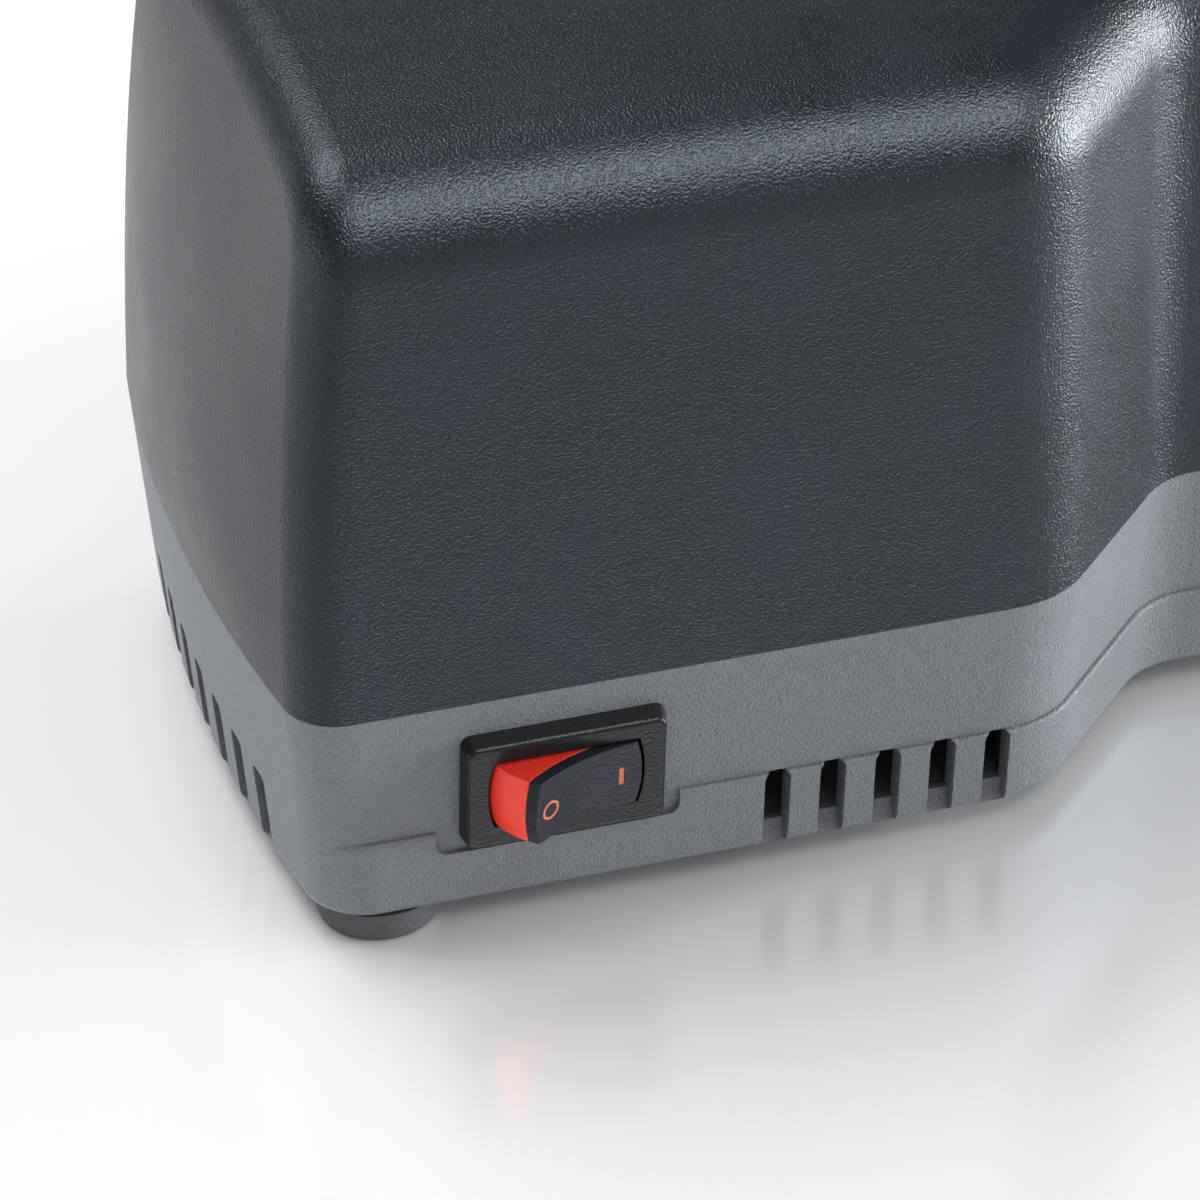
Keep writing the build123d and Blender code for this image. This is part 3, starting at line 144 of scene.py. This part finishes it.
ray = tent_tree.nodes.new("ShaderNodeLightPath")
seen_or_mirrored = tent_tree.nodes.new("ShaderNodeMath")
seen_or_mirrored.operation = "MAXIMUM"
tent_tree.links.new(ray.outputs["Is Camera Ray"], seen_or_mirrored.inputs[0])
tent_tree.links.new(ray.outputs["Is Glossy Ray"], seen_or_mirrored.inputs[1])
any_seen = tent_tree.nodes.new("ShaderNodeMath")
any_seen.operation = "MAXIMUM"
tent_tree.links.new(seen_or_mirrored.outputs[0], any_seen.inputs[0])
tent_tree.links.new(ray.outputs["Is Transmission Ray"], any_seen.inputs[1])
pick = tent_tree.nodes.new("ShaderNodeMixShader")
surround_out = tent_tree.nodes.new("ShaderNodeOutputWorld")
tent_tree.links.new(any_seen.outputs[0], pick.inputs[0])
tent_tree.links.new(tent_light.outputs[0], pick.inputs[1])
tent_tree.links.new(seen_white.outputs[0], pick.inputs[2])
tent_tree.links.new(pick.outputs[0], surround_out.inputs[0])


# Lamps: soft boxes. The one overhead at the back left lights the table, two low ones light the slanted
# set-back and the motor end, and two strips over the front draw the band along the top edge. One of the
# strips shows only as gloss, so that it doesn't lighten the black front.

motor_block_middle = (0, 0, 0.06)
top_edge_middle = (-0.03, 0, 0.10)


def soft_box(name, place, aim, width, height, power):
    """A rectangular lamp, in metres and watts, that the camera doesn't see."""
    lamp = bpy.data.lights.new(name, "AREA")
    lamp.shape = "RECTANGLE"
    lamp.size = width
    lamp.size_y = height
    lamp.energy = power
    box = bpy.data.objects.new(name, lamp)
    box.location = place
    box.rotation_euler = (Vector(aim) - Vector(place)).to_track_quat("-Z", "Y").to_euler()
    box.visible_camera = False
    bpy.context.collection.objects.link(box)
    return box


soft_box("overhead_box", place=(-0.45, 0.45, 1.20), aim=motor_block_middle, width=1.0, height=0.7, power=17.5)
soft_box("right_box", place=(1.10, -0.12, 0.14), aim=(0, -0.04, 0.06), width=0.8, height=0.26, power=26.0)
soft_box("left_box", place=(-1.20, -0.10, 0.12), aim=(-0.1, 0, 0.06), width=0.8, height=0.22, power=1.6)
soft_box("front_strip", place=(0.25, -0.75, 1.10), aim=top_edge_middle, width=1.2, height=0.35, power=3.5)
gloss_strip = soft_box(
    "gloss_strip", place=(0.22, -0.67, 0.99), aim=top_edge_middle, width=1.07, height=0.45, power=15.5)
gloss_strip.visible_diffuse = False


# Base: a grey ABS tray with a proud skirt, cooling slots and screw posts, moulded in a tool that is
# spark-eroded to a pebbled grain. The clean-out door, which snaps into its floor, is the same plastic.

def start_finish(name):
    """A new finish: its material, node tree, surface shader and the piece's own coordinates."""
    material = bpy.data.materials.new(name)
    material.use_nodes = True
    tree = material.node_tree
    coordinates = tree.nodes.new("ShaderNodeTexCoord")
    return material, tree, tree.nodes["Principled BSDF"], coordinates.outputs["Object"]


def speckle(tree, place, size, detail=2.0, roughness=0.5):
    """A random pattern with spots of about this size, in metres."""
    node = tree.nodes.new("ShaderNodeTexNoise")
    node.inputs["Scale"].default_value = 1.0 / size
    node.inputs["Detail"].default_value = detail
    node.inputs["Roughness"].default_value = roughness
    tree.links.new(place, node.inputs["Vector"])
    return node.outputs["Fac"]


def spread(tree, pattern, low, high, pattern_low=0.3, pattern_high=0.7):
    """Stretches the part of a pattern that it mostly keeps to over a range of values."""
    node = tree.nodes.new("ShaderNodeMapRange")
    node.inputs["From Min"].default_value = pattern_low
    node.inputs["From Max"].default_value = pattern_high
    node.inputs["To Min"].default_value = low
    node.inputs["To Max"].default_value = high
    tree.links.new(pattern, node.inputs["Value"])
    return node.outputs[0]


def shades(tree, pattern, dark, light, low=0.35, high=0.65):
    """Colours a pattern from one shade, where it is low, to another, where it is high."""
    node = tree.nodes.new("ShaderNodeValToRGB")
    node.color_ramp.elements[0].position = low
    node.color_ramp.elements[0].color = (*dark, 1)
    node.color_ramp.elements[1].position = high
    node.color_ramp.elements[1].color = (*light, 1)
    tree.links.new(pattern, node.inputs["Fac"])
    return node.outputs["Color"]


def relief(tree, skin, height, depth, edge):
    """Raises the surface by a pattern, in metres, and softens its sharp edges by a small radius."""
    softened = tree.nodes.new("ShaderNodeBevel")
    softened.samples = 4
    softened.inputs["Radius"].default_value = edge
    raised = tree.nodes.new("ShaderNodeBump")
    raised.inputs["Distance"].default_value = depth
    tree.links.new(height, raised.inputs["Height"])
    tree.links.new(softened.outputs[0], raised.inputs["Normal"])
    tree.links.new(raised.outputs[0], skin.inputs["Normal"])


def moulded_plastic(
    name, colour, grain, depth, roughness, shine=0.5, mottle_and_highlight=0.12, edge=0.0003, gloss_tint=(1, 1, 1)
):
    """Injection-moulded plastic: a pebbled grain whose raised tops are painted paler (a painted highlight), a
    random mottle, and a slight unevenness of polish.
    """
    cloud_size = 0.02
    pebble_highlight_share = 0.7
    polish_change = 0.04
    material, tree, skin, place = start_finish(name)
    pebbles = speckle(tree, place, grain, detail=1.0)
    relief(tree, skin, pebbles, depth, edge)
    cloud = speckle(tree, place, cloud_size, detail=4.0)
    # Colour: a random cloud of tone mixed with the grain, so that its raised tops are painted paler, a
    # painted highlight in place of the grain's glint.
    mottle_and_pebble_highlight = tree.nodes.new("ShaderNodeMix")
    mottle_and_pebble_highlight.inputs["Factor"].default_value = pebble_highlight_share
    tree.links.new(cloud, mottle_and_pebble_highlight.inputs["A"])
    tree.links.new(pebbles, mottle_and_pebble_highlight.inputs["B"])
    dark = [c * (1 - mottle_and_highlight) for c in colour]
    light = [c * (1 + mottle_and_highlight) for c in colour]
    tree.links.new(shades(tree, mottle_and_pebble_highlight.outputs["Result"], dark, light), skin.inputs["Base Color"])
    polish = spread(tree, cloud, roughness - polish_change, roughness + polish_change)
    tree.links.new(polish, skin.inputs["Roughness"])
    skin.inputs["Specular IOR Level"].default_value = shine
    skin.inputs["Specular Tint"].default_value = (*gloss_tint, 1)
    return material


def finish_nodes(material, *names):
    """Gives pieces of the frame their finish."""
    for name in names:
        slots = nodes[name].data.materials
        slots.clear()
        slots.append(material)


grey_grain = moulded_plastic(
    "grey_grained_abs", colour=(0.148, 0.160, 0.172), grain=0.00036, depth=0.00022,
    roughness=0.42, shine=0.3, mottle_and_highlight=0.15)
finish_nodes(grey_grain, "base_tray", "clean_out_door")


# Feet: pads of dark moulded rubber with a stem and a thicker head. The head is pulled through a hole in
# the tray's floor and holds the pad there.

foot_rubber = moulded_plastic(
    "foot_rubber", colour=(0.06, 0.065, 0.07), grain=0.0006, depth=0.00008, roughness=0.7, edge=0.0004)
finish_nodes(foot_rubber, "foot_front_left", "foot_rear_left", "foot_front_right", "foot_rear_right")


# Cord gland: an inlet moulded in black nylon, with its collar outside the rear wall of the tray and its
# nut inside.

black_nylon = moulded_plastic(
    "black_nylon", colour=(0.020, 0.021, 0.023), grain=0.0005, depth=0.00005, roughness=0.42)
finish_nodes(black_nylon, "cord_gland")


# Switch: a standard rocker in a raised black surround, pushed into a cut-out in the front wall. The
# rocker is a red moulding under a black cap, which carries a ring and a bar in orange ink.

switch_black = moulded_plastic(
    "switch_black", colour=(0.007, 0.009, 0.011), grain=0.0004, depth=0.00006, roughness=0.30, shine=0.22)
finish_nodes(switch_black, "switch_housing")
cap_black = moulded_plastic(
    "cap_black", colour=(0.014, 0.017, 0.021), grain=0.0004, depth=0.00012, roughness=0.34, shine=0.18,
    edge=0.0004)
finish_nodes(cap_black, "rocker_cap")
signal_red = moulded_plastic(
    "signal_red", colour=(0.92, 0.034, 0.014), grain=0.0006, depth=0.00002, roughness=0.34, mottle_and_highlight=0.04)
finish_nodes(signal_red, "rocker_body")
orange_ink = moulded_plastic(
    "orange_ink", colour=(0.50, 0.115, 0.050), grain=0.0003, depth=0.00001, roughness=0.6, mottle_and_highlight=0.2)

drum_radius = 0.0114
tip_angle = math.radians(51.9)
cap_dish = 0.0012
half_chord = drum_radius * math.sin(tip_angle)
dish_radius = (half_chord ** 2 + cap_dish ** 2) / (2 * cap_dish)
dish_bottom = drum_radius * math.cos(tip_angle) - cap_dish

rocker_tilt = math.radians(18.75)
wall_lean = math.radians(4.4)
rocker_joint = next(joint for joint in frame["joints"] if joint["name"] == "rocker_turn")
rocker_pivot = Vector(rocker_joint["pos_m"])
switch_out = Vector((0, -math.cos(wall_lean), -math.sin(wall_lean)))
switch_right = Vector((1, 0, 0))
switch_up = switch_out.cross(switch_right)
cap_right = switch_right * math.cos(rocker_tilt) - switch_out * math.sin(rocker_tilt)
cap_out = switch_right * math.sin(rocker_tilt) + switch_out * math.cos(rocker_tilt)

ink_height = 0.00004
ring_middle = (-0.0061, -0.0004)
ring_radius = 0.00155
ring_line = 0.00045
ring_steps = 48
bar_middle = (0.0059, 0.0)
bar_half_width = 0.00038
bar_half_height = 0.00145


def on_cap(x, y, lift):
    """A point on the dished face of the cap, lifted off it by a little."""
    rise = dish_bottom + dish_radius - math.sqrt(dish_radius ** 2 - x * x) + lift
    return rocker_pivot + cap_right * x + switch_up * y + cap_out * rise


def circle(middle, radius):
    """The outline of a circle on the cap."""
    turns = [2 * math.pi * i / ring_steps for i in range(ring_steps)]
    return [(middle[0] + radius * math.cos(turn), middle[1] + radius * math.sin(turn)) for turn in turns]


def upright(middle, half_width, half_height):
    """The outline of a bar on the cap."""
    corners = ((-1, -1), (1, -1), (1, 1), (-1, 1))
    return [(middle[0] + i * half_width, middle[1] + j * half_height) for i, j in corners]


def ink_mark(name, outer, inner):
    """A printed mark between two outlines on the cap, or inside one."""
    count = len(outer)
    points = [on_cap(x, y, ink_height) for x, y in outer + inner]
    points += [on_cap(x, y, -ink_height) for x, y in outer + inner]
    low = len(outer + inner)
    faces = []
    for i in range(count):
        j = (i + 1) % count
        faces.append((i, j, low + j, low + i))
        if inner:
            a, b = count + i, count + j
            faces += [(i, a, b, j), (a, low + a, low + b, b), (low + i, low + j, low + b, low + a)]
    if not inner:
        faces += [tuple(reversed(range(count))), tuple(range(low, low + count))]
    mesh = bpy.data.meshes.new(name)
    mesh.from_pydata(points, [], faces)
    mesh.materials.append(orange_ink)
    mark = bpy.data.objects.new(name, mesh)
    bpy.context.collection.objects.link(mark)
    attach(mark, "rocker")


ink_mark("off_ring", circle(ring_middle, ring_radius), circle(ring_middle, ring_radius - ring_line))
ink_mark("on_bar", upright(bar_middle, bar_half_width, bar_half_height), [])


# Switch blades: terminals stamped from brass strip and pushed into the back of the switch, with the marks
# of the strip's rolling along them.

def worked_metal(name, colour, roughness, grain, depth, along=(1, 1, 1), stain=0.12, edge=0.0002):
    """Bare metal with fine marks, drawn out along an axis where its share is small."""
    cloud_size = 0.006
    polish_change = 0.08
    material, tree, skin, place = start_finish(name)
    stretch = tree.nodes.new("ShaderNodeMapping")
    stretch.inputs["Scale"].default_value = along
    tree.links.new(place, stretch.inputs["Vector"])
    marks = speckle(tree, stretch.outputs[0], grain, detail=3.0)
    relief(tree, skin, marks, depth, edge)
    cloud = speckle(tree, place, cloud_size, detail=4.0)
    dark = [c * (1 - stain) for c in colour]
    tree.links.new(shades(tree, cloud, dark, colour), skin.inputs["Base Color"])
    polish = spread(tree, marks, roughness - polish_change, roughness + polish_change)
    tree.links.new(polish, skin.inputs["Roughness"])
    skin.inputs["Metallic"].default_value = 1.0
    return material


terminal_brass = worked_metal(
    "terminal_brass", colour=(0.78, 0.60, 0.28), roughness=0.3, grain=0.0004, depth=0.00001,
    along=(1, 1, 0.05))
finish_nodes(terminal_brass, "switch_terminals")


# Stator and rotor stacks: steel sheets, stamped and pressed together along the shaft, whose edges show as
# fine lines under a thin brown varnish.

sheet_thickness = 0.0005


def fine_lines(tree, place, axis, pitch, waver, detail):
    """Even lines across an axis, one for each pitch in metres."""
    lines = tree.nodes.new("ShaderNodeTexWave")
    lines.bands_direction = axis
    lines.wave_profile = "SIN"
    lines.inputs["Scale"].default_value = math.pi / 10 / pitch
    lines.inputs["Distortion"].default_value = waver
    lines.inputs["Detail"].default_value = detail
    tree.links.new(place, lines.inputs["Vector"])
    return lines.outputs["Fac"]


lamination_steel, tree, skin, place = start_finish("lamination_steel")
sheet_edges = fine_lines(tree, place, "X", sheet_thickness, waver=0.4, detail=2.0)
relief(tree, skin, sheet_edges, depth=0.00006, edge=0.0002)
varnish = speckle(tree, place, size=0.004, detail=5.0)
varnish_colour = shades(tree, varnish, dark=(0.16, 0.14, 0.13), light=(0.34, 0.33, 0.33))
tree.links.new(varnish_colour, skin.inputs["Base Color"])
tree.links.new(spread(tree, varnish, low=0.34, high=0.5), skin.inputs["Roughness"])
skin.inputs["Metallic"].default_value = 0.9
finish_nodes(lamination_steel, "stator_laminations", "rotor_core")


# Coil: enamelled copper wire, wound in layers on a bobbin of natural nylon. The two shading rings in the
# poles are bare copper bar, bent round and joined.

wire_pitch = 0.0006
wire_relief = 0.00025

coil_copper = worked_metal(
    "coil_copper", colour=(0.70, 0.30, 0.13), roughness=0.28, grain=0.002, depth=wire_relief)
tree = coil_copper.node_tree
coordinates = next(node for node in tree.nodes if node.type == "TEX_COORD")
wound = next(node for node in tree.nodes if node.type == "BUMP")
wires = fine_lines(tree, coordinates.outputs["Object"], "Y", wire_pitch, waver=0.6, detail=2.0)
tree.links.new(wires, wound.inputs["Height"])
finish_nodes(coil_copper, "coil_winding")

bare_copper = worked_metal(
    "bare_copper", colour=(0.78, 0.38, 0.22), roughness=0.32, grain=0.0008, depth=0.00002)
finish_nodes(bare_copper, "shading_rings")

natural_nylon = moulded_plastic(
    "natural_nylon", colour=(0.70, 0.66, 0.54), grain=0.0009, depth=0.00002, roughness=0.42, mottle_and_highlight=0.05)
finish_nodes(natural_nylon, "coil_bobbin")


# Motor brackets and rotor cage rings: pressure-cast aluminium, left as cast. The brackets are bolted
# through the stator, and the rings are cast onto the rotor.

cast_alloy = worked_metal(
    "cast_alloy", colour=(0.60, 0.60, 0.61), roughness=0.45, grain=0.0008, depth=0.00008, stain=0.2)
finish_nodes(cast_alloy, "motor_bracket_left", "motor_bracket_right", "rotor_rings")


# End block: natural nylon like the bobbin, screwed down at the far end of the tray. It holds the shaft's
# last bush.

finish_nodes(natural_nylon, "bearing_block")


# Bushes: sintered bronze, pressed into the brackets and the end block, and dark with the oil that they
# hold.

sintered_bronze = worked_metal(
    "sintered_bronze", colour=(0.52, 0.34, 0.16), roughness=0.42, grain=0.0003, depth=0.00003)
finish_nodes(sintered_bronze, "motor_bush_left", "motor_bush_right", "end_bush")


# Shaft, drive pins and collar: bright ground steel, with the grinding marks running round the shaft. The
# thrust washer between the collar and the bush is pressed red fibre.

ground_steel = worked_metal(
    "ground_steel", colour=(0.70, 0.70, 0.72), roughness=0.2, grain=0.0003, depth=0.000005,
    along=(1, 0.08, 0.08))
finish_nodes(ground_steel, "motor_shaft", "drive_pins", "shaft_collar")

red_fibre = moulded_plastic(
    "red_fibre", colour=(0.36, 0.12, 0.06), grain=0.0004, depth=0.00004, roughness=0.7, mottle_and_highlight=0.25)
finish_nodes(red_fibre, "thrust_washer")


# Cooling fan: moulded in the same black nylon as the gland and pushed onto the motor end of the shaft,
# where it draws air in through the side vents.

finish_nodes(black_nylon, "cooling_fan")


# Disc springs: coils of drawn steel wire, three turns each, that stand between the two hubs of a stage.
# Each coil is drawn in two halves, from its middle out to the left disc and out to the right one, and the
# frame's own spring is hidden.

shaft_height = 0.078
stage_places = {1: 0.036, 2: 0.070, 3: 0.104}
coil_radius = 0.006
wire_radius = 0.0006
coil_reach = 0.0046
coil_turns = 3
steps_per_turn = 48
wire_sides = 14
glance = 0.001

wire_steel = worked_metal(
    "drawn_wire_steel", colour=(0.62, 0.62, 0.64), roughness=0.24, grain=0.0003, depth=0.000004)


def coil_point(along):
    """A point on the middle line of a coil, from its left end at -1 to its right end at 1."""
    turn = math.pi * coil_turns * (along + 1)
    return Vector((along * coil_reach, coil_radius * math.sin(turn), -coil_radius * math.cos(turn)))


def half_coil(name, stage, side):
    """One half of a stage's coil, from the middle out to the disc on that side."""
    middle = Vector((stage_places[stage], 0, shaft_height))
    rings = coil_turns * steps_per_turn // 2
    points, faces = [], []
    for i in range(rings + 1):
        along = side * i / rings
        centre = coil_point(along)
        forward = (coil_point(along + glance) - coil_point(along - glance)).normalized()
        outward = Vector((0, centre.y, centre.z)).normalized()
        across = forward.cross(outward).normalized()
        for j in range(wire_sides):
            turn = 2 * math.pi * j / wire_sides
            rim = wire_radius * (outward * math.cos(turn) + across * math.sin(turn))
            points.append(middle + centre + rim)
    for i in range(rings):
        for j in range(wire_sides):
            a, b = i * wire_sides + j, i * wire_sides + (j + 1) % wire_sides
            quad = (a, b, b + wire_sides, a + wire_sides)
            faces.append(quad if side > 0 else tuple(reversed(quad)))
    first = tuple(range(wire_sides))
    last = tuple(range(rings * wire_sides, (rings + 1) * wire_sides))
    faces += [tuple(reversed(first)), last] if side > 0 else [first, tuple(reversed(last))]
    mesh = bpy.data.meshes.new(name)
    mesh.from_pydata(points, [], faces)
    mesh.polygons.foreach_set("use_smooth", [len(face.vertices) == 4 for face in mesh.polygons])
    mesh.materials.append(wire_steel)
    coil = bpy.data.objects.new(name, mesh)
    bpy.context.collection.objects.link(coil)
    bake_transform(coil)
    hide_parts(f"disc_spring_{stage}")


for stage in stage_places:
    half_coil(f"disc_spring_{stage}_left_half", stage, -1)
    half_coil(f"disc_spring_{stage}_right_half", stage, 1)


# Discs: steel cones with a nickel bond full of fine diamond grit, which glints on a grey ground. They
# slide on the shaft, turned by its pins.

grit_size = 0.00035

diamond_coat, tree, skin, place = start_finish("diamond_coat")
grit = tree.nodes.new("ShaderNodeTexVoronoi")
grit.inputs["Scale"].default_value = 1.0 / grit_size
tree.links.new(place, grit.inputs["Vector"])
relief(tree, skin, grit.outputs["Distance"], depth=0.0001, edge=0.0002)
glint = shades(
    tree, grit.outputs["Distance"], dark=(0.62, 0.62, 0.60), light=(0.26, 0.26, 0.26), low=0.1, high=0.6)
tree.links.new(glint, skin.inputs["Base Color"])
tree.links.new(spread(tree, speckle(tree, place, 0.003), low=0.35, high=0.55), skin.inputs["Roughness"])
skin.inputs["Metallic"].default_value = 0.9
for stage in stage_places:
    finish_nodes(diamond_coat, f"disc_{stage}_left", f"disc_{stage}_right")


# Dust shield: a plain plate of grey plastic between the motor and the discs, slid down between ribs in
# the base.

shield_grey = moulded_plastic(
    "shield_grey", colour=(0.20, 0.20, 0.21), grain=0.0006, depth=0.00004, roughness=0.45)
finish_nodes(shield_grey, "dust_shield")


# Guide insert: satin black moulded plastic on top of the sharpening section, held by tongues inside the
# cover. Its slots hold the knife at the right angle to the discs.

guide_black = moulded_plastic(
    "guide_satin_black", colour=(0.018, 0.021, 0.026), grain=0.0005, depth=0.00006, roughness=0.36)
finish_nodes(guide_black, "guide_module")


# Magnets: pressed ferrite bars, glued beside the slots of the guide insert, where they hold the blade to
# the wall, and on the clean-out door, where one catches the filings.

ferrite = moulded_plastic(
    "pressed_ferrite", colour=(0.055, 0.055, 0.06), grain=0.0003, depth=0.00005, roughness=0.55)
finish_nodes(ferrite, "guide_magnets", "filings_magnet")


# Cover: one black ABS moulding with the base's pebbled grain, but shallower and shinier. It drops over the
# lip of the base.

# Its strong mottle paints the raised tops of the grain much paler than its hollows: a painted sparkle.
black_grain = moulded_plastic(
    "black_grained_abs", colour=(0.0035, 0.0068, 0.0100), grain=0.00036, depth=0.00015,
    roughness=0.33, shine=0.43, mottle_and_highlight=0.6, gloss_tint=(0.84, 0.92, 1.0))
finish_nodes(black_grain, "top_cover")


# Screws and through bolts: zinc-plated steel. The case screws pull the cover down from below, and the
# others hold the motor and the end block.

zinc_steel = worked_metal(
    "zinc_steel", colour=(0.66, 0.67, 0.70), roughness=0.3, grain=0.0005, depth=0.00001)
finish_nodes(zinc_steel, "case_screws", "motor_bolts", "motor_screws", "block_screws")
